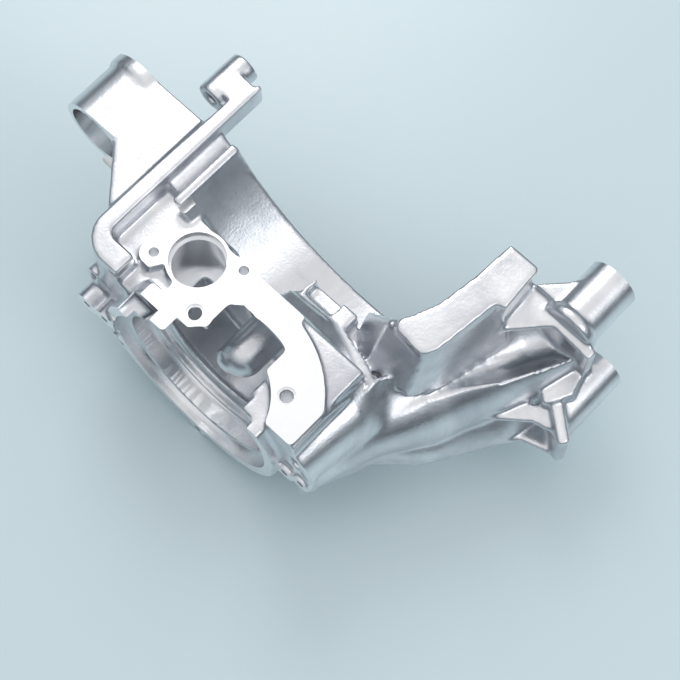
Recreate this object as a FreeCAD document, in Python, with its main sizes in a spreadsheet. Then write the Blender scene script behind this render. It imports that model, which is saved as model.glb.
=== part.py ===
import FreeCAD, Part
import math
import os

# Die cast gear housing, one casting, in millimetres.
# While it is drawn, x = 0 is the middle of the milled motor face; the finished casting is then
# moved so that the origin lies on the bearing bore's axis, in the plane where the motor face begins.
# +Y runs into the bore, +Z points out of the milled motor face, +X runs to the arm with two bosses.

os.makedirs("parts", exist_ok=True)
doc = FreeCAD.newDocument("die_cast_housing")
sheet = doc.addObject("Spreadsheet::Sheet", "Sizes")

SIZES = [
    # gear drum and its turned bore
    ("bore_across", -16.0), ("ring_radius", 58.5), ("ring_lip", 6.0), ("ring_length", 20.0),
    ("drum_radius", 49.0), ("drum_end", 52.0), ("mouth_radius", 52.0), ("mouth_depth", 5.0),
    ("seat_radius", 46.0), ("seat_depth", 10.0), ("inner_radius", 42.0), ("inner_depth", 6.0),
    ("web_radius", 37.0), ("web_thickness", 3.0), ("chamber_radius", 42.0), ("back_wall", 6.0),
    ("shaft_radius", 10.0), ("shaft_boss_radius", 16.0), ("finger_round", 4),
    ("finger_radius", 7.5),
    # milled motor face
    ("face_height", 42.0), ("face_thickness", 13.0), ("flange_radius", 60.7), ("flange_side", 49.5),
    ("flange_step", 1.2), ("pilot_radius", 35.0), ("pilot_setback", 12.0), ("pilot_depth", 9.0),
    ("window_radius", 48.0), ("window_left", 21.5), ("window_right", 15.0), ("window_depth", 34.0),
    ("tap_radius", 3.4), ("tap_depth", 20.0), ("tap_spread", 31.0), ("tap_reach", 17.0),
    ("tap_chamfer", 1.2), ("tap_pad", 13.0),
    # side port beside the motor face
    ("port_across", -49.5), ("port_along", 37.5), ("port_radius", 14.5), ("port_wall", 1.8),
    ("port_seat", 7.0), ("port_step", 1.2),
    ("port_bottom", -8.0), ("ear_radius", 7.2), ("ear_hole_radius", 2.6), ("ear_depth", 14.0),
    ("floor_height", 36.0), ("floor_thickness", 4.0), ("floor_edge", 56.0), ("box_wall", 5.0), ("box_foot", -14.0),
    # long rib on the port side
    ("rib_height", 50.0), ("rib_depth", 15.0), ("rib_outer", 99.0), ("rib_width", 10.0), ("rib_near", 3.0),
    ("rib_far", 122.0), ("rib_bend", 18.0), ("rib_leg", 28.0),
    # cradle between the two arms
    ("cradle_radius", 104.0), ("cradle_wall", 4.5), ("cradle_across", 15.0), ("cradle_height", 100.0),
    ("cradle_far", 93.0),
    # bush boss and its leg
    ("bush_across", 142.0), ("bush_height", 25.0), ("bush_radius", 20.5), ("bush_bore", 16.5),
    ("bush_near", 55.0), ("bush_far", 92.0), ("collar_length", 6.0), ("collar_step", 1.5),
    ("leg_depth", 44.0), ("leg_skin", 4.0), ("leg_recess", 9.0), ("leg_root", 22.0),
    # small boss at the end of the long rib
    ("pin_boss_radius", 8.5), ("pin_boss_across", 107.0), ("pin_boss_near", 104.0), ("pin_boss_length", 26.0),
    ("pin_hole_radius", 4.0), ("pin_hole_depth", 16.0),
    # right arm
    ("plate_height", 50.0), ("plate_skin", 5.0), ("shelf_height", 24.0), ("shelf_thickness", 4.0),
    ("arm_wall", 4.5), ("hull_foot", -28.0), ("hull_lip", 3.5), ("end_wall", 4.5),
    ("upper_boss_across", 102.5), ("upper_boss_height", 19.0), ("upper_boss_radius", 14.0),
    ("upper_boss_near", 143.0), ("upper_boss_far", 178.0), ("upper_hole_radius", 6.5),
    ("lower_boss_across", 122.5), ("lower_boss_height", -18.0), ("lower_boss_radius", 12.5),
    ("lower_boss_near", 112.0), ("lower_boss_far", 153.0), ("lower_hole_radius", 5.5), ("lower_hole_depth", 30.0),
    # ridge behind the motor face
    ("ridge_height", 30.0), ("ridge_thickness", 4.0), ("block_depth", 11.0), ("notch_depth", 8.0),
    # screw bosses round the cover face
    ("screw_hole_radius", 2.1), ("screw_hole_depth", 14.0),
]
ALIASES = {alias for alias, value in SIZES}
for row, (alias, value) in enumerate(SIZES, start=1):
    sheet.set("A%d" % row, alias)
    sheet.set("B%d" % row, str(value))
    sheet.setAlias("B%d" % row, alias)
doc.recompute()


def size(alias):
    return float(sheet.get(alias))


def named(text):
    """Puts the sheet's name before every alias in an expression."""
    words = []
    for word in text.split():
        bare = word.lstrip("-(").rstrip(")")
        if bare in ALIASES:
            word = word.replace(bare, "Sizes." + bare)
        words.append(word)
    return " ".join(words)


def place(obj, across, along, height):
    for axis, text in (("x", across), ("y", along), ("z", height)):
        obj.setExpression("Placement.Base." + axis, named(text))


def rod(name, across, along, height, radius, length, axis="y"):
    """A cylinder along +Y, or along +Z when axis is "z"."""
    obj = doc.addObject("Part::Cylinder", name)
    if axis == "y":
        obj.Placement.Rotation = FreeCAD.Rotation(FreeCAD.Vector(1, 0, 0), -90)
    obj.setExpression("Radius", named(radius))
    obj.setExpression("Height", named(length))
    place(obj, across, along, height)
    return obj


def brick(name, across, along, height, width, depth, rise):
    """A box from its lowest corner."""
    obj = doc.addObject("Part::Box", name)
    obj.setExpression("Length", named(width))
    obj.setExpression("Width", named(depth))
    obj.setExpression("Height", named(rise))
    place(obj, across, along, height)
    return obj


def taking(name, base, tool):
    """The first solid without the second."""
    obj = doc.addObject("Part::Cut", name)
    obj.Base = base
    obj.Tool = tool
    return obj


def shared(name, base, tool):
    """What two solids have in common."""
    obj = doc.addObject("Part::Common", name)
    obj.Base = base
    obj.Tool = tool
    return obj


def point(x, y, z=0.0):
    return FreeCAD.Vector(x, y, z)


def outline(corners):
    """Lines and arcs of a closed flat outline: a corner is (x, y), or (x, y, radius) if rounded."""
    count = len(corners)
    places = [point(corner[0], corner[1]) for corner in corners]
    pieces = []
    starts = []
    ends = []
    for i, here in enumerate(places):
        radius = corners[i][2] if len(corners[i]) > 2 else 0.0
        back = (places[i - 1] - here).normalize()
        ahead = (places[(i + 1) % count] - here).normalize()
        if radius == 0.0:
            starts.append(here)
            ends.append(here)
            continue
        half = math.acos(max(-1.0, min(1.0, back.dot(ahead)))) / 2
        reach = radius / math.tan(half)
        middle = here + (back + ahead).normalize() * (radius / math.sin(half) - radius)
        starts.append(here + back * reach)
        ends.append(here + ahead * reach)
        pieces.append(Part.ArcOfCircle(starts[-1], middle, ends[-1]))
    for i in range(count):
        tail = ends[i]
        head = starts[(i + 1) % count]
        if (head - tail).Length > 1e-6:
            pieces.append(Part.LineSegment(tail, head))
    return pieces


def slab(name, corners, low, thickness):
    """A flat cast wall or plate: an outline in plan, raised from a height by a thickness."""
    sketch = doc.addObject("Sketcher::SketchObject", name + "_outline")
    sketch.addGeometry(outline(corners), False)
    sketch.setExpression("Placement.Base.z", named(low))
    obj = doc.addObject("Part::Extrusion", name)
    obj.Base = sketch
    obj.DirMode = "Custom"
    obj.Dir = point(0, 0, 1)
    obj.Solid = True
    obj.setExpression("LengthFwd", named(thickness))
    return obj


def skin(name, lines, shift):
    """A cast wall of flat stretches between two lines of points, given its thickness along shift."""
    wires = [Part.makePolygon([point(*place) for place in line]) for line in lines]
    stretches = [face.extrude(point(*shift)) for face in Part.makeLoft(wires, False, True).Faces]
    obj = doc.addObject("Part::Feature", name)
    obj.Shape = stretches[0].multiFuse(stretches[1:])
    return obj


adds = []
cuts = []

# gear drum, cut flat on top where the motor face is milled
above = brick("above_face", "-ring_radius * 3", "-ring_lip - 10", "face_height", "ring_radius * 6", "drum_end * 3", "60")
ring = rod("ring_blank", "bore_across", "-ring_lip", "0", "ring_radius", "ring_length")
drum = rod("drum_blank", "bore_across", "0", "0", "drum_radius", "drum_end")
adds.append(taking("end_ring", ring, above))
adds.append(taking("drum", drum, above))
adds.append(brick("drum_shoulder", "0", "0", "-10", "flange_side", "drum_end", "face_height - 2 + 10"))
cuts.append(rod("mouth", "bore_across", "-ring_lip - 2", "0", "mouth_radius", "mouth_depth + 2"))
cuts.append(rod("seat", "bore_across", "-ring_lip", "0", "seat_radius", "mouth_depth + seat_depth"))
cuts.append(rod("inner_seat", "bore_across", "-ring_lip", "0", "inner_radius", "mouth_depth + seat_depth + inner_depth"))
cuts.append(rod("web_opening", "bore_across", "-ring_lip", "0", "web_radius", "drum_end + ring_lip - back_wall"))
cuts.append(rod("chamber", "bore_across", "mouth_depth + seat_depth + inner_depth + web_thickness - ring_lip", "0",
                "chamber_radius",
                "drum_end - back_wall - mouth_depth - seat_depth - inner_depth - web_thickness + ring_lip"))
cuts.append(rod("shaft_hole", "bore_across", "0", "0", "shaft_radius", "drum_end + 20"))
adds.append(rod("shaft_boss", "bore_across", "drum_end - 2", "0", "shaft_boss_radius", "8"))

# milled motor face
side_x = size("flange_side")
disc = rod("flange_disc", "0", "-pilot_setback", "face_height - face_thickness", "flange_radius", "face_thickness", "z")
trim = slab("flange_trim", [(-side_x, 0), (side_x, 0), (side_x, 70), (-12, 70), (-19, 46, 3), (-33, 30), (-side_x, 22)],
            "face_height - face_thickness", "face_thickness")
adds.append(shared("motor_flange", disc, trim))
adds.append(rod("left_tap_pad", "-tap_spread - 2", "tap_reach + 1", "face_height - 22", "tap_pad", "22", "z"))
adds.append(slab("face_corner", [(-side_x + 1, 1), (-20, 1), (-20, 25), (-side_x + 1, 22, 4)], "face_height - 24", "24"))
skirt = doc.addObject("Part::Cone", "flange_skirt")
skirt.setExpression("Radius1", "Sizes.flange_radius + 26")
skirt.setExpression("Radius2", "Sizes.flange_radius")
skirt.setExpression("Height", "Sizes.face_height - Sizes.flange_step - Sizes.ridge_height + 6")
place(skirt, "0", "-pilot_setback", "ridge_height - 6")
skirt_trim = slab("skirt_trim", [(-12, 40), (20, 0), (52, 0), (52, 53), (26, 62), (-8, 60)], "10", "40")
adds.append(shared("flange_slope", skirt, skirt_trim))

cuts.append(rod("pilot", "0", "-pilot_setback", "face_height - pilot_depth", "pilot_radius", "pilot_depth + 5", "z"))
window_disc = rod("window_disc", "0", "-pilot_setback", "face_height - window_depth", "window_radius",
                  "window_depth + 5", "z")
window_sides = brick("window_sides", "-window_left", "4", "face_height - window_depth", "window_left + window_right",
                     "60", "window_depth + 5")
cuts.append(shared("window", window_disc, window_sides))
for side, sign in (("left", "-"), ("right", "")):
    cuts.append(rod("tap_" + side, sign + "tap_spread", "tap_reach", "face_height - tap_depth", "tap_radius",
                    "tap_depth + 1", "z"))
    mouth = doc.addObject("Part::Cone", "tap_mouth_" + side)
    mouth.setExpression("Radius1", "Sizes.tap_radius")
    mouth.setExpression("Radius2", "Sizes.tap_radius + Sizes.tap_chamfer * 2")
    mouth.setExpression("Height", "Sizes.tap_chamfer * 2")
    place(mouth, sign + "tap_spread", "tap_reach", "face_height - tap_chamfer")
    cuts.append(mouth)

# side port
adds.append(rod("port_tube", "port_across", "port_along", "port_bottom - 4", "port_radius + port_wall",
                "face_height - port_bottom + 4", "z"))
cuts.append(rod("port_bore", "port_across", "port_along", "face_height - port_seat", "port_radius",
                "port_seat + 20", "z"))
cuts.append(rod("port_throat", "port_across", "port_along", "port_bottom", "port_radius - port_step",
                "face_height - port_bottom", "z"))
EARS = {"one": (-68, 25.5), "two": (-29, 49)}
for ear, (x, y) in EARS.items():
    adds.append(rod("ear_" + ear, str(x), str(y), "face_height - 22", "ear_radius", "22", "z"))
    cuts.append(rod("ear_hole_" + ear, str(x), str(y), "face_height - ear_depth", "ear_hole_radius", "ear_depth + 1", "z"))
adds.append(slab("ear_one_web", [(-64, 18), (-60, 30), (-66, 32), (-72, 19)], "face_height - 22", "22"))
adds.append(slab("ear_two_web", [(-36, 47), (-38, 40), (-24, 30), (-10, 40), (-22, 51)], "face_height - 22", "22"))

# box round the port
rib_x = size("rib_outer")
rib_w = size("rib_width")
near = size("rib_near")
bend = size("rib_bend")
edge_y = size("floor_edge")
wall = size("box_wall")
adds.append(slab("port_floor", [(-rib_x + 3, near + 2, bend - 2), (-40, near + 2), (-40, edge_y), (-rib_x + 3, edge_y)],
                 "floor_height - floor_thickness", "floor_thickness"))
box_line = [(-rib_x + 1, near, bend - 1), (-40, near), (-40, near + wall), (-rib_x + 1 + wall, near + wall, bend - 1 - wall),
            (-rib_x + 1 + wall, edge_y - wall), (-38, edge_y - wall), (-38, edge_y), (-rib_x + 1, edge_y)]
adds.append(slab("box_walls", box_line, "box_foot", "floor_height - box_foot - 1"))

# long rib
leg_end = -rib_x + size("rib_leg")
rib_line = [(-rib_x, near, bend), (leg_end, near), (leg_end, near + 13), (-rib_x + rib_w, near + 13, 5),
            (-rib_x + rib_w, size("rib_far") + 8, 1.5), (-rib_x + 2, size("rib_far") - 10)]
adds.append(slab("long_rib", rib_line, "rib_height - rib_depth", "rib_depth"))
adds.append(slab("rib_wall", [(-rib_x + 1, edge_y - wall), (-rib_x + 7, edge_y - wall), (-rib_x + 7, size("cradle_far")),
                              (-rib_x + 1, size("cradle_far"))], "box_foot", "rib_height - box_foot - 2"))

# cradle
cradle_low = size("drum_end") - 2
cradle = rod("cradle_outside", "cradle_across", "drum_end - 2", "cradle_height", "cradle_radius + cradle_wall",
             "cradle_far - drum_end + 2")
hollow = rod("cradle_inside", "cradle_across", "drum_end - 10", "cradle_height", "cradle_radius",
             "cradle_far - drum_end + 20")
shell = taking("cradle_shell", cradle, hollow)
span = brick("cradle_span", "-rib_outer + 3", "drum_end - 10", "-20", "rib_outer + 52", "cradle_far", "rib_height + 18")
adds.append(shared("cradle", shell, span))

# bush boss and leg
bush_x = -size("bush_across")
bush_y = size("bush_near")
adds.append(rod("bush_boss", "-bush_across", "bush_near", "bush_height", "bush_radius", "bush_far - bush_near"))
adds.append(rod("bush_collar", "-bush_across", "bush_far - collar_length", "bush_height",
                "bush_radius + collar_step", "collar_length"))
root = size("leg_root")
leg_line = [(bush_x + 3, bush_y), (bush_x + 16, bush_y), (-rib_x + 2, root), (-rib_x + 2, size("bush_far")),
            (bush_x + 3, size("bush_far"))]
adds.append(slab("leg", leg_line, "bush_height + bush_radius - leg_depth", "leg_depth - 0.3"))
recess = size("leg_recess")
cuts.append(slab("leg_channel", [(bush_x + 6, bush_y - 30), (-rib_x, -12), (-rib_x, root + recess + 4, 3),
                                 (bush_x + 20, bush_y + recess)],
                 "bush_height + bush_radius - leg_depth + leg_skin", "leg_depth - leg_skin * 2"))
cuts.append(rod("bush_hole", "-bush_across", "bush_near - 40", "bush_height", "bush_bore", "bush_far - bush_near + 60"))

# small boss at the rib's end
pin_x = -size("pin_boss_across")
adds.append(rod("pin_boss", "-pin_boss_across", "pin_boss_near", "rib_height - pin_boss_radius", "pin_boss_radius",
                "pin_boss_length"))
adds.append(slab("pin_boss_web", [(pin_x, size("pin_boss_near") + 4), (-rib_x + 3, size("rib_far") - 14),
                                  (-rib_x + 5, size("rib_far")), (pin_x, size("rib_far"))], "rib_height - 14", "13.7"))
cuts.append(rod("pin_hole", "-pin_boss_across", "pin_boss_near - 1", "rib_height - pin_boss_radius",
                "pin_hole_radius", "pin_hole_depth"))

# right arm: top plate, its block and its skirt
plate_line = [(41, 76, 5), (66, 74, 5), (69.5, 82), (74, 119), (79, 119, 2), (77, 147, 2), (58, 147, 2), (57, 124),
              (53.5, 100), (48, 86)]
adds.append(slab("arm_plate", plate_line, "plate_height - plate_skin", "plate_skin"))
adds.append(slab("plate_block", [(60, 122), (77.6, 122, 2), (76, 146, 2), (59, 146, 2)], "22", "plate_height - 22.5"))
adds.append(skin("inner_skirt", [[(42, 79, 46), (49, 88, 46), (54, 101, 46), (58.5, 146, 46)],
                                 [(36, 84, -4), (44, 93, -4), (50, 106, -4), (57, 146, -4)]], (5, -1.5, 0)))
plate_under = 46.5
adds.append(skin("near_skirt", [[(26, 78, 26), (42, 77, plate_under), (67, 75, plate_under)],
                                [(30, 62, 12), (43, 58, 22), (70, 62, 22)]], (0, 4, -2)))
adds.append(skin("side_skirt", [[(66, 75, plate_under), (70, 84, plate_under), (73, 104, plate_under),
                                 (75, 122, plate_under)],
                                [(70, 62, 20), (76, 77, 14), (79, 98, 10), (83, 122, 6)]], (-4, 1, -1)))

# right arm: side bar that widens into the pocket, then the hull below its crease
# each section: crease (x, y, z), outward direction, then (outward, height) from bar top to hull toe, wall lean
wall_in = size("arm_wall")
foot = size("hull_foot")
ARM = [
    ((62, -1, 5), (0.994, -0.11), [(-13, 31), (-4, 25), (0, 5), (0, -6), (-4, -16), (-5, -22), (-6, foot)], 1.0),
    ((68, 36, 11), (0.976, -0.217), [(-16, 31), (-6, 24), (0, 11), (6, 0), (2, -16), (3.5, -22), (3, foot)], 0.8),
    ((72, 54, 14), (0.977, -0.214), [(-18, 29.5), (-9, 19), (0, 14), (10, 1), (9, -16), (13.5, -22), (15, foot)], 0.4),
    ((76, 69, 15), (0.926, -0.376), [(-12, 24), (-7, 16), (0, 15), (11.5, 2), (14, -16), (18.5, -22), (20.5, foot)], 0.1),
    ((85, 86, 15), (0.855, -0.518), [(-15, 18), (-8, 10), (0, 15), (9.5, 3), (12, -15), (17, -22), (20, foot)], 0.0),
    ((96, 101, 14), (0.851, -0.525), [(-24, 15), (-12, 5), (0, 14), (6.5, 4), (9, -14), (15, -21), (19, foot)], 0.0),
    ((106, 120, 13), (0.924, -0.383), [(-28, 12), (-13, 2), (0, 13), (5, 4), (6, -14), (9, -20), (12, foot)], 0.0),
    ((115, 140, 12), (0.998, -0.065), [(-26, 9), (-13, 3), (0, 9), (2, -2), (-2, -12), (-5, -20), (-6, foot)], 0.0),
]


def arm_section(crease, outward, profile, lean):
    """One closed section of the arm's wall: smooth trough, hull and toe outside, plain facets inside."""
    def at(across, height):
        return point(crease[0] + outward[0] * across, crease[1] + outward[1] * across, height)

    def smooth(places):
        curve = Part.BSplineCurve()
        curve.interpolate(places)
        return curve.toShape()

    outside = [at(across, height) for across, height in profile]
    inside = []
    for i, (across, height) in enumerate(profile):
        if i == 2:
            inside.append(at(across - wall_in * (0.6 + 0.4 * lean), height - wall_in * (1.3 - 0.9 * lean)))
        elif i < 2:
            inside.append(at(across - wall_in * lean, height - wall_in * (1.1 - 0.7 * lean)))
        else:
            inside.append(at(across - wall_in, height))
    edges = [smooth(outside[0:3]), smooth(outside[2:5]), smooth(outside[4:7])]
    corners = [outside[6], inside[6], inside[4], inside[2], inside[1], inside[0], outside[0]]
    edges += [Part.LineSegment(start, end).toShape() for start, end in zip(corners, corners[1:])]
    return Part.Wire(edges)


arm_shell = doc.addObject("Part::Feature", "arm_shell")
arm_shell.Shape = Part.makeLoft([arm_section(*section) for section in ARM], True, True)
adds.append(arm_shell)
adds.append(slab("lower_lip", [(40, 30), (56, 30), (72, 40), (87, 51), (97, 66), (108, 85), (117, 98), (133, 103, 2),
                               (137, 108, 2), (120, 118), (104, 102), (90, 82), (72, 60), (52, 48)],
                 "hull_foot - hull_lip", "hull_lip"))
inner_foot = [(48, 50, -30), (66, 74, -30), (96, 128, -30)]
inner_head = [(48, 50, 20), (62, 75, 15), (88, 128, 2)]
adds.append(skin("inner_wall", [inner_head, inner_foot], (wall_in, -wall_in * 0.5, 0)))

# right arm: shelf over the pocket, end wall and gussets
adds.append(slab("shelf", [(57, 88), (64, 101), (79, 117.5), (94, 134.5), (104, 144.5, 2), (104, 149), (58, 149)],
                 "shelf_height - shelf_thickness", "shelf_thickness"))
adds.append(slab("collar_wall", [(59.5, 140.5), (121, 136.5), (122, 142.5), (80, 148.3), (59.5, 148.3)], "-9", "shelf_height + 8.5"))
adds.append(rod("collar_pad", "upper_boss_across", "upper_boss_near - 1", "upper_boss_height",
                "upper_boss_radius + 1.5", "5"))
adds.append(slab("boss_gusset", [(76, 147), (95, 147), (93, 168), (88, 160)], "shelf_height", "4"))
adds.append(slab("boss_base", [(102, 128, 2), (136, 101, 2), (140, 106, 2), (106, 134, 2)], "hull_foot - hull_lip", "30"))
adds.append(slab("side_gusset", [(88, 78), (100, 101), (120, 116), (130, 106), (118, 103)], "-10", "4"))
adds.append(slab("lower_boss_web", [(101, 124), (107, 146), (119, 146), (125, 125), (117, 111)], "-17", "18"))

# right arm: end bosses
adds.append(rod("upper_boss", "upper_boss_across", "upper_boss_near", "upper_boss_height", "upper_boss_radius",
                "upper_boss_far - upper_boss_near"))
adds.append(rod("lower_boss", "lower_boss_across", "lower_boss_near", "lower_boss_height", "lower_boss_radius",
                "lower_boss_far - lower_boss_near"))
cuts.append(rod("upper_hole", "upper_boss_across", "upper_boss_near + 2", "upper_boss_height", "upper_hole_radius",
                "upper_boss_far - upper_boss_near"))
cuts.append(rod("lower_hole", "lower_boss_across", "lower_boss_far - lower_hole_depth", "lower_boss_height",
                "lower_hole_radius", "lower_hole_depth + 1"))

# ridge behind the motor face, with its notched block
adds.append(slab("ridge", [(-9, 59), (25, 60), (47, 51), (54, 53), (50, 57), (26, 64), (-7, 63)], "0",
                 "ridge_height"))
adds.append(slab("block", [(-6, 61), (25, 61), (25, 74), (-4, 74)], "-4", "ridge_height + 3.5"))
cuts.append(slab("notch", [(-3, 65.5), (15, 65.5), (15, 80), (-3, 80)], "ridge_height - notch_depth", "notch_depth + 20"))

# screw bosses round the cover face: across, front, height, radius, length
SCREWS = [(-88, -8, -2, 7.0, 24), (-75, -8, 0, 6.0, 20), (-93, 3, 8, 5.0, 12), (47, -3, -2, 6.0, 20), (58, -3, 4, 6.0, 20),
          (-69, -6, -27, 5.0, 14), (-16, -6, -60, 5.0, 14)]
for number, (x, y, z, radius, length) in enumerate(SCREWS, start=1):
    adds.append(rod("screw_boss_%d" % number, str(x), str(y), str(z), str(radius), str(length)))
    cuts.append(rod("screw_hole_%d" % number, str(x), str(y - 1), str(z), "screw_hole_radius", "screw_hole_depth"))
adds.append(slab("left_screw_web", [(-95, 2), (-60, 2), (-60, 12), (-95, 12)], "-8", "16"))
adds.append(slab("right_screw_web", [(38, 0), (64, 0), (62, 14), (38, 14)], "-8", "20"))

# finger boss that shows through the window
finger_x = -10
late = [rod("finger", str(finger_x), "16", "12", "finger_radius", "drum_end - 18")]
tip = doc.addObject("Part::Cone", "finger_tip")
tip.setExpression("Radius1", "Sizes.finger_radius")
tip.setExpression("Radius2", "Sizes.finger_radius - Sizes.finger_round")
tip.setExpression("Height", "Sizes.finger_round")
tip.Placement.Rotation = FreeCAD.Rotation(FreeCAD.Vector(1, 0, 0), 90)
place(tip, str(finger_x), "16", "12")
late.append(tip)

doc.recompute()
for obj in adds + cuts + late:
    if obj.Shape.isNull() or not obj.Shape.isValid() or "Invalid" in obj.State or "Error" in obj.State:
        raise RuntimeError("bad feature: " + obj.Name)
casting = doc.addObject("Part::MultiFuse", "casting")
casting.Shapes = adds
openings = doc.addObject("Part::MultiFuse", "openings")
openings.Shapes = cuts
opened = taking("opened", casting, openings)
housing = doc.addObject("Part::MultiFuse", "housing")
housing.Shapes = [opened] + late
housing.Label = "housing"
housing.setExpression("Placement.Base.x", "-Sizes.bore_across")
doc.recompute()
for obj in doc.Objects:
    if "Invalid" in obj.State or "Error" in obj.State:
        raise RuntimeError("failed: " + obj.Name)
if housing.Shape.isNull() or not housing.Shape.isValid() or len(housing.Shape.Solids) != 1:
    raise RuntimeError("the housing is not one sound solid")
housing.Shape.exportStep("parts/housing.step")
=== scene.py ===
import bpy
import bmesh
import math
from mathutils import Matrix, Vector


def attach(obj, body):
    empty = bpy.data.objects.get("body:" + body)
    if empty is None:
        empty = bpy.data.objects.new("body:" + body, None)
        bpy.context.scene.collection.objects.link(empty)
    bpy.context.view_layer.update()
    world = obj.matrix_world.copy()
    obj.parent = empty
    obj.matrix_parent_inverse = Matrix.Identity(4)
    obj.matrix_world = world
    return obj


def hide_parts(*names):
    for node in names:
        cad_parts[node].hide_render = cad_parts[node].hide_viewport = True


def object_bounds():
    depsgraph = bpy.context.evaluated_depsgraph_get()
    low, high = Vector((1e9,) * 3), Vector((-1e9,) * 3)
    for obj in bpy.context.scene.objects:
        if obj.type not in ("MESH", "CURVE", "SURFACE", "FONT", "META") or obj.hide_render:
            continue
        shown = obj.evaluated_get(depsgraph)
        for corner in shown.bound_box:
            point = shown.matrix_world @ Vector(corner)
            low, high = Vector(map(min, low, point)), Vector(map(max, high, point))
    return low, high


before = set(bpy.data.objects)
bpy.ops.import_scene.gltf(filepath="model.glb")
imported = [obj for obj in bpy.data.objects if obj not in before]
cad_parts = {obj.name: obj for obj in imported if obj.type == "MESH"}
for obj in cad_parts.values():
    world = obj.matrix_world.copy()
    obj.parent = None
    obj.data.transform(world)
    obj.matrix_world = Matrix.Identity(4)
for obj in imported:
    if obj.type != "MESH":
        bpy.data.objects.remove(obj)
mm = 0.001
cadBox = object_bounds()
alongY = Matrix.Rotation(math.radians(-90), 3, "X")  # lays an upright cylinder along Y


def point(x, y, z):
    return Vector((x, y, z)) * mm


def newPiece(name, bm, materials):
    mesh = bpy.data.meshes.new(name)
    bm.to_mesh(mesh)
    bm.free()
    for mat in materials:
        mesh.materials.append(mat)
    piece = bpy.data.objects.new(name, mesh)
    bpy.context.scene.collection.objects.link(piece)
    return piece


def applyModifiers(piece):
    bpy.context.view_layer.update()
    evaluated = piece.evaluated_get(bpy.context.evaluated_depsgraph_get())
    finished = bpy.data.meshes.new_from_object(evaluated)
    piece.modifiers.clear()
    piece.data = finished


# materials
def newMaterial(name):
    mat = bpy.data.materials.new(name)
    mat.use_nodes = True
    tree = mat.node_tree
    return mat, tree.nodes, tree.links, tree.nodes["Principled BSDF"]


def noiseTexture(nodes, links, vector, scale, detail=4.0, roughness=0.55, distortion=0.0):
    noise = nodes.new("ShaderNodeTexNoise")
    noise.inputs["Scale"].default_value = scale
    noise.inputs["Detail"].default_value = detail
    noise.inputs["Roughness"].default_value = roughness
    noise.inputs["Distortion"].default_value = distortion
    links.new(vector, noise.inputs["Vector"])
    return noise


def colourRamp(nodes, links, source, stops):
    ramp = nodes.new("ShaderNodeValToRGB")
    while len(ramp.color_ramp.elements) < len(stops):
        ramp.color_ramp.elements.new(0.5)
    for element, (place, colour) in zip(ramp.color_ramp.elements, stops):
        element.position = place
        element.color = (*colour, 1)
    links.new(source, ramp.inputs["Fac"])
    return ramp


def mapRange(nodes, links, source, low, high):
    ranged = nodes.new("ShaderNodeMapRange")
    ranged.inputs["To Min"].default_value = low
    ranged.inputs["To Max"].default_value = high
    links.new(source, ranged.inputs["Value"])
    return ranged.outputs["Result"]


def bumpFrom(nodes, links, shader, height, strength, distance):
    bump = nodes.new("ShaderNodeBump")
    bump.inputs["Strength"].default_value = strength
    bump.inputs["Distance"].default_value = distance
    links.new(height, bump.inputs["Height"])
    links.new(bump.outputs["Normal"], shader.inputs["Normal"])


castLook = {
    "cloud": {"scale": 22.0, "detail": 5.0, "roughness": 0.62, "distortion": 0.8},
    "flow": {"scale": 60.0, "detail": 6.0, "roughness": 0.7, "distortion": 1.5},
    "grain": {"scale": 750.0, "detail": 3.0},
    "tint": [(0.32, (0.56, 0.575, 0.615)), (0.62, (0.83, 0.84, 0.865))],
    "roughLow": 0.2, "roughHigh": 0.42, "bump": 0.5, "depth": 0.0002,
}


def castSkin():
    mat, nodes, links, shader = newMaterial("castSkin")
    place = nodes.new("ShaderNodeTexCoord").outputs["Object"]
    cloud = noiseTexture(nodes, links, place, **castLook["cloud"])
    tint = colourRamp(nodes, links, cloud.outputs["Fac"], castLook["tint"])
    links.new(tint.outputs["Color"], shader.inputs["Base Color"])
    flow = noiseTexture(nodes, links, place, **castLook["flow"])
    links.new(mapRange(nodes, links, flow.outputs["Fac"], castLook["roughLow"], castLook["roughHigh"]),
              shader.inputs["Roughness"])
    shader.inputs["Metallic"].default_value = 1.0
    grain = noiseTexture(nodes, links, place, **castLook["grain"])
    bumpFrom(nodes, links, shader, grain.outputs["Fac"], castLook["bump"], castLook["depth"])
    return mat


milledLook = {
    "cloud": {"scale": 40.0},
    "tint": [(0.3, (0.88, 0.89, 0.90)), (0.7, (0.93, 0.94, 0.95))],
    "marks": 900.0, "wobble": 0.6, "rough": 0.34, "bump": 0.12, "depth": 0.00005,
}


def milledFace():
    mat, nodes, links, shader = newMaterial("milledFace")
    place = nodes.new("ShaderNodeTexCoord").outputs["Object"]
    marks = nodes.new("ShaderNodeTexWave")
    marks.wave_type = "RINGS"
    marks.rings_direction = "Z"
    marks.inputs["Scale"].default_value = milledLook["marks"]
    marks.inputs["Distortion"].default_value = milledLook["wobble"]
    links.new(place, marks.inputs["Vector"])
    cloud = noiseTexture(nodes, links, place, **milledLook["cloud"])
    tint = colourRamp(nodes, links, cloud.outputs["Fac"], milledLook["tint"])
    links.new(tint.outputs["Color"], shader.inputs["Base Color"])
    shader.inputs["Metallic"].default_value = 1.0
    shader.inputs["Roughness"].default_value = milledLook["rough"]
    bumpFrom(nodes, links, shader, marks.outputs["Fac"], milledLook["bump"], milledLook["depth"])
    return mat


turnedLook = {"colour": (0.88, 0.89, 0.91), "rough": 0.22, "turns": 1500.0, "bump": 0.25, "depth": 0.00004}


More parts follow.
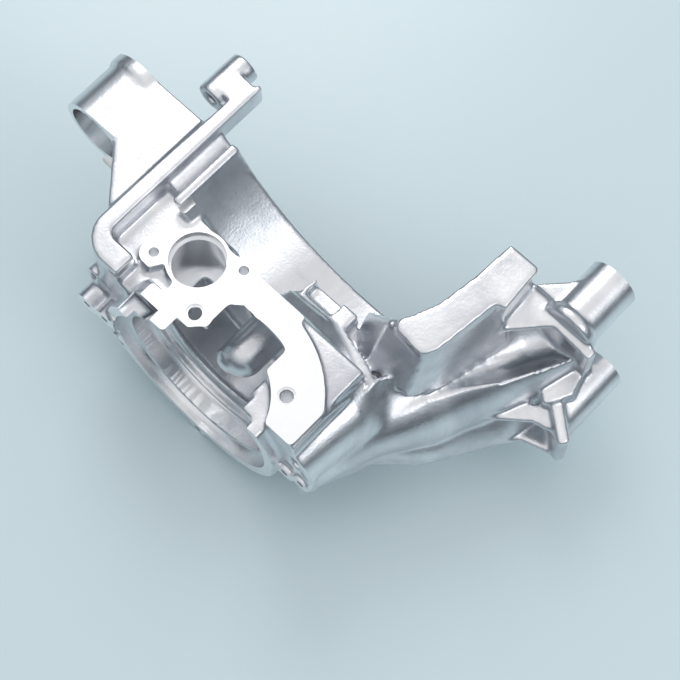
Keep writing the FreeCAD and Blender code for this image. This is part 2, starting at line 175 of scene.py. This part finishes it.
def turnedBore():
    mat, nodes, links, shader = newMaterial("turnedBore")
    place = nodes.new("ShaderNodeTexCoord").outputs["Object"]
    turns = nodes.new("ShaderNodeTexWave")
    turns.wave_type = "BANDS"
    turns.bands_direction = "Y"
    turns.inputs["Scale"].default_value = turnedLook["turns"]
    links.new(place, turns.inputs["Vector"])
    shader.inputs["Base Color"].default_value = (*turnedLook["colour"], 1)
    shader.inputs["Metallic"].default_value = 1.0
    shader.inputs["Roughness"].default_value = turnedLook["rough"]
    bumpFrom(nodes, links, shader, turns.outputs["Fac"], turnedLook["bump"], turnedLook["depth"])
    return mat


castMaterial = castSkin()
milledMaterial = milledFace()
turnedMaterial = turnedBore()
print("materials")

# casting: a rough shape with stock on the faces that are machined, then the cuts; sizes in millimetres
casting = {
    "weld": 0.002, "stock": 3.0, "voxel": 1.15, "smooth": 0.5, "rounds": 6,
    "faces": 165000,  # triangles after thinning
    "speck": 100,  # loose islands with fewer corners go
    "sharp": 25.0,  # degrees between faces, beside machined metal
}
facing = {"normal": 0.999, "slack": 0.02, "room": 1.0}  # how a machined flat is picked out

# cast metal that is lower than the motor face: boxes taken off before the machining
reliefs = [((-46, -13, 33.5), (-28.5, 5.5, 47))]

# machined flats: axis, side, level, and the box in which the cutter removes metal
flats = [
    ("z", 1, 42.0, (-61, -9, 42.0), (69, 58, 47)),
    ("y", -1, -6.0, (-51.9, -12, -70), (58.5, -6.0, 42.5)),
    ("y", -1, -8.0, (-82, -14, -14), (-52.0, -8.0, 9)),
    ("y", -1, -3.0, (58.7, -9, -9), (82, -3.0, 11)),
    ("y", 1, 178.0, (104, 178.0, 4), (134, 184, 34)),
    ("y", 1, 153.0, (125, 153.0, -31.5), (152, 159, -5)),
    ("y", -1, 55.0, (-147.5, 49, 3), (-109, 55.0, 47)),
    ("y", 1, 92.0, (-149, 92.0, 2), (-112, 98, 48)),
]

# the rest of the cover ring's stock beside the screw block: cutters that meet need passes of their own
trims = [
    ("trimming", [((-61, -12, -70), (-51.0, -6.0, -14)), ((-61, -12, 9), (-51.0, -6.0, 42.5))]),
    ("levelling", [((-84, -14, -72), (-45, -8.0, 44))]),
]

# bores: axis, centre, then (radius, from, to) for each step
bores = [
    ("y", (0, 0), [(52.3, -12, -0.8), (46.3, -1.0, 9.2)]),
    ("y", (-126, 25), [(16.8, 48, 98)]),
    ("z", (-33.5, 37.5), [(13.6, -8, 35), (14.7, 34.9, 48)]),
    ("z", (-15, 17), [(3.4, 22, 42), (4.6, 40.8, 46)]),
    ("z", (47, 17), [(3.4, 22, 42), (4.6, 40.8, 46)]),
    ("z", (-52, 25.5), [(2.6, 28, 46)]),
    ("z", (-13, 49), [(2.6, 28, 46)]),
    ("y", (118.5, 19), [(6.5, 145, 183)]),
    ("y", (138.5, -18), [(5.5, 123, 158)]),
    ("y", (-72, -2), [(2.1, -12, 5)]),
    ("y", (-59, 0), [(2.1, -12, 5)]),
    ("y", (-77, 8), [(2.1, 0, 16)]),
    ("y", (63, -2), [(2.1, -8, 10)]),
    ("y", (74, 4), [(2.1, -8, 10)]),
    ("y", (-53, -27), [(2.1, -10, 7)]),
    ("y", (0, -60), [(2.1, -10, 7)]),
]

# cast metal that the plain solid lacks: corners of each convex lump
lumps = {
    "ribLedge": [(-77, y, z) for y in (56, 95) for z in (39, 47)]
    + [(-57, y, z) for y in (56, 93) for z in (29, 36.5)],
    "troughPatch": [(-12, y, z) for y in (57, 77) for z in (0, 4.9)]
    + [(12, y, z) for y in (57, 77) for z in (-7, -2.7)],
    "skirtRoot": [(x, y, z) for x, y in ((38, 60), (40, 72), (72, 66), (76, 53), (60, 51)) for z in (8, 19)],
}
# the finger boss inside the drum, with a round tip
finger = {"across": 9.5, "height": 12.0, "radius": 11.0, "tip": 24.0, "root": 50.0, "sides": 48, "rings": 24}


def addLumps(bm):
    for corners in lumps.values():
        made = [bm.verts.new(point(*corner)) for corner in corners]
        bmesh.ops.convex_hull(bm, input=made)
    radius = finger["radius"] * mm
    reach = finger["root"] - finger["tip"]
    middle = finger["tip"] + reach / 2
    shaft = bmesh.ops.create_cone(bm, cap_ends=True, segments=finger["sides"], radius1=radius, radius2=radius,
                                  depth=reach * mm)["verts"]
    bmesh.ops.rotate(bm, verts=shaft, matrix=alongY)
    bmesh.ops.translate(bm, verts=shaft, vec=point(finger["across"], middle, finger["height"]))
    tip = bmesh.ops.create_uvsphere(bm, u_segments=finger["sides"], v_segments=finger["rings"],
                                    radius=radius)["verts"]
    bmesh.ops.translate(bm, verts=tip, vec=point(finger["across"], finger["tip"], finger["height"]))


def inside(place, low, high):
    room = facing["room"]
    return all(low[i] - room < place[i] / mm < high[i] + room for i in range(3))


def addStock(bm):
    letters = "xyz"
    for letter, side, level, low, high in flats:
        axis = letters.index(letter)
        picked = [face for face in bm.faces if face.normal[axis] * side > facing["normal"]
                  and abs(face.calc_center_median()[axis] / mm - level) < facing["slack"]
                  and inside(face.calc_center_median(), low, high)]
        if not picked:
            print("no face at", letter, level)
            continue
        raised = bmesh.ops.extrude_face_region(bm, geom=picked)["geom"]
        shift = Vector((0, 0, 0))
        shift[axis] = side * casting["stock"] * mm
        moved = [part for part in raised if isinstance(part, bmesh.types.BMVert)]
        bmesh.ops.translate(bm, verts=moved, vec=shift)
        bmesh.ops.delete(bm, geom=[face for face in picked if face.is_valid], context="FACES_ONLY")


def roughCasting():
    bm = bmesh.new()
    bm.from_mesh(bpy.data.objects["housing"].data)
    bmesh.ops.remove_doubles(bm, verts=bm.verts, dist=casting["weld"] * mm)
    bm.normal_update()
    addStock(bm)
    bmesh.ops.remove_doubles(bm, verts=bm.verts, dist=casting["weld"] * mm)
    addLumps(bm)
    piece = newPiece("castHousing", bm, [castMaterial])
    remesh = piece.modifiers.new("remesh", "REMESH")
    remesh.mode = "VOXEL"
    remesh.voxel_size = casting["voxel"] * mm
    smooth = piece.modifiers.new("smooth", "SMOOTH")
    smooth.factor = casting["smooth"]
    smooth.iterations = casting["rounds"]
    applyModifiers(piece)
    print("rough casting", len(piece.data.polygons))
    thin = piece.modifiers.new("thin", "DECIMATE")
    thin.ratio = min(1.0, casting["faces"] / (2 * len(piece.data.polygons)))
    applyModifiers(piece)
    print("thinned", len(piece.data.polygons))
    return piece


def boxCutter(bm, low, high):
    size = Vector(high) - Vector(low)
    made = bmesh.ops.create_cube(bm, size=1.0)["verts"]
    bmesh.ops.scale(bm, verts=made, vec=size * mm)
    bmesh.ops.translate(bm, verts=made, vec=(Vector(low) + size / 2) * mm)


# a round cutter's sides, by the radius that it exceeds
cutterSides = [(20, 128), (8, 64), (0, 32)]


def boreCutter(bm, axis, centre, radius, start, end):
    sides = next(count for limit, count in cutterSides if radius > limit)
    made = bmesh.ops.create_cone(bm, cap_ends=True, segments=sides, radius1=radius * mm, radius2=radius * mm,
                                 depth=(end - start) * mm)["verts"]
    if axis == "y":
        bmesh.ops.rotate(bm, verts=made, matrix=alongY)
        bmesh.ops.translate(bm, verts=made, vec=point(centre[0], (start + end) / 2, centre[1]))
    else:
        bmesh.ops.translate(bm, verts=made, vec=point(centre[0], centre[1], (start + end) / 2))


def boxPass(name, boxes, mat):
    bm = bmesh.new()
    for low, high in boxes:
        boxCutter(bm, low, high)
    return name, bm, mat


def borePass(name, chosen):
    bm = bmesh.new()
    for axis, centre, steps in bores:
        for step in steps[chosen]:
            boreCutter(bm, axis, centre, *step)
    return name, bm, turnedMaterial


def machine(piece):
    passes = [
        boxPass("relief", reliefs, castMaterial),
        boxPass("milling", [(low, high) for letter, side, level, low, high in flats], milledMaterial),
        *[boxPass(name, boxes, milledMaterial) for name, boxes in trims],
        borePass("boring", slice(0, 1)),
        borePass("secondBoring", slice(1, None)),
    ]
    for name, bm, mat in passes:
        cutter = newPiece(name, bm, [mat])
        cut = piece.modifiers.new(name, "BOOLEAN")
        cut.operation = "DIFFERENCE"
        cut.solver = "MANIFOLD"
        cut.object = cutter
        cut.material_mode = "TRANSFER"
        applyModifiers(piece)
        bpy.data.objects.remove(cutter)
        print(name, len(piece.data.polygons), [mat.name for mat in piece.data.materials])


castHousing = roughCasting()
machine(castHousing)


# removes loose islands of a few vertices, which the remesh leaves, in the mesh's own order
def dropSpecks(bm):
    unseen = set(bm.verts)
    specks = []
    for start in bm.verts:
        if start not in unseen:
            continue
        unseen.remove(start)
        island = [start]
        for vert in island:
            for edge in vert.link_edges:
                other = edge.other_vert(vert)
                if other in unseen:
                    unseen.remove(other)
                    island.append(other)
        if len(island) < casting["speck"]:
            specks += island
    bmesh.ops.delete(bm, geom=specks, context="VERTS")


def finishShading(piece):
    bm = bmesh.new()
    bm.from_mesh(piece.data)
    dropSpecks(bm)
    bmesh.ops.triangulate(bm, faces=[face for face in bm.faces if len(face.verts) > 4])
    for face in bm.faces:
        face.smooth = True
    for edge in bm.edges:
        if len(edge.link_faces) == 2 and any(face.material_index for face in edge.link_faces):
            edge.smooth = edge.calc_face_angle() < math.radians(casting["sharp"])
    bm.to_mesh(piece.data)
    bm.free()


finishShading(castHousing)
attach(castHousing, "root")
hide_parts("housing")
print("casting")

# floor
floorLook = {
    "half": 3.0, "colour": (0.66, 0.79, 0.83), "shade": 0.985, "rough": 0.25,
    "cloud": {"scale": 9.0, "detail": 3.0}, "low": 0.3, "high": 0.7,
}


def makeFloor(height):
    bm = bmesh.new()
    bmesh.ops.create_grid(bm, x_segments=1, y_segments=1, size=floorLook["half"])
    bmesh.ops.translate(bm, verts=bm.verts, vec=Vector((0, 0, height)))
    mat, nodes, links, shader = newMaterial("paleFloor")
    place = nodes.new("ShaderNodeTexCoord").outputs["Object"]
    cloud = noiseTexture(nodes, links, place, **floorLook["cloud"])
    pale = floorLook["colour"]
    darker = tuple(channel * floorLook["shade"] for channel in pale)
    stops = [(floorLook["low"], darker), (floorLook["high"], pale)]
    tint = colourRamp(nodes, links, cloud.outputs["Fac"], stops)
    links.new(tint.outputs["Color"], shader.inputs["Base Color"])
    shader.inputs["Roughness"].default_value = floorLook["rough"]
    floor = newPiece("floor", bm, [mat])


makeFloor(cadBox[0][2])
print("floor")

# light
lamps = {
    "keyLamp": {"at": (-0.95, 0.9, 1.35), "size": 0.9, "watts": 7.5},
    "fillLamp": {"at": (1.2, 0.3, 1.1), "size": 0.8, "watts": 2.5},
}
lampTarget = (0.01, 0.06, 0)
studio = {
    "shades": [(0.12, (0.04, 0.045, 0.06)), (0.52, (0.50, 0.56, 0.61)), (0.82, (1.0, 1.0, 1.0))],
    "strength": 0.92,
}


def makeLamp(name, values):
    light = bpy.data.lights.new(name, "AREA")
    light.shape = "DISK"
    light.size = values["size"]
    light.energy = values["watts"]
    lamp = bpy.data.objects.new(name, light)
    bpy.context.scene.collection.objects.link(lamp)
    lamp.location = values["at"]
    lamp.rotation_euler = (Vector(lampTarget) - lamp.location).to_track_quat("-Z", "Y").to_euler()


# darker below, brighter overhead
def makeStudio():
    world = bpy.data.worlds.new("studio")
    bpy.context.scene.world = world
    world.use_nodes = True
    nodes, links = world.node_tree.nodes, world.node_tree.links
    sky = nodes.new("ShaderNodeTexCoord")
    upward = nodes.new("ShaderNodeSeparateXYZ")
    links.new(sky.outputs["Generated"], upward.inputs["Vector"])
    shades = colourRamp(nodes, links, upward.outputs["Z"], studio["shades"])
    links.new(shades.outputs["Color"], nodes["Background"].inputs["Color"])
    nodes["Background"].inputs["Strength"].default_value = studio["strength"]


for name, values in lamps.items():
    makeLamp(name, values)
makeStudio()
print("light")

# camera
view = {
    "azimuth": 43.5, "elevation": 70.0, "target": (38.3, 63.3, 11.1), "distance": 1000.0,
    "lens": 105.88, "sensor": 36.0, "near": 0.05,
}


def makeCamera():
    turn = math.radians(view["azimuth"])
    tilt = math.radians(view["elevation"])
    right = Vector((math.cos(turn), math.sin(turn), 0))
    back = Vector((math.sin(turn) * math.cos(tilt), -math.cos(turn) * math.cos(tilt), math.sin(tilt)))
    data = bpy.data.cameras.new("camera")
    data.sensor_width = view["sensor"]
    data.lens = view["lens"]
    data.clip_start = view["near"]
    camera = bpy.data.objects.new("camera", data)
    bpy.context.scene.collection.objects.link(camera)
    camera.matrix_world = (Matrix.Translation(point(*view["target"]) + back * view["distance"] * mm)
                           @ Matrix((right, back.cross(right), back)).transposed().to_4x4())
    bpy.context.scene.camera = camera


makeCamera()
bpy.context.scene.view_settings.view_transform = "Standard"
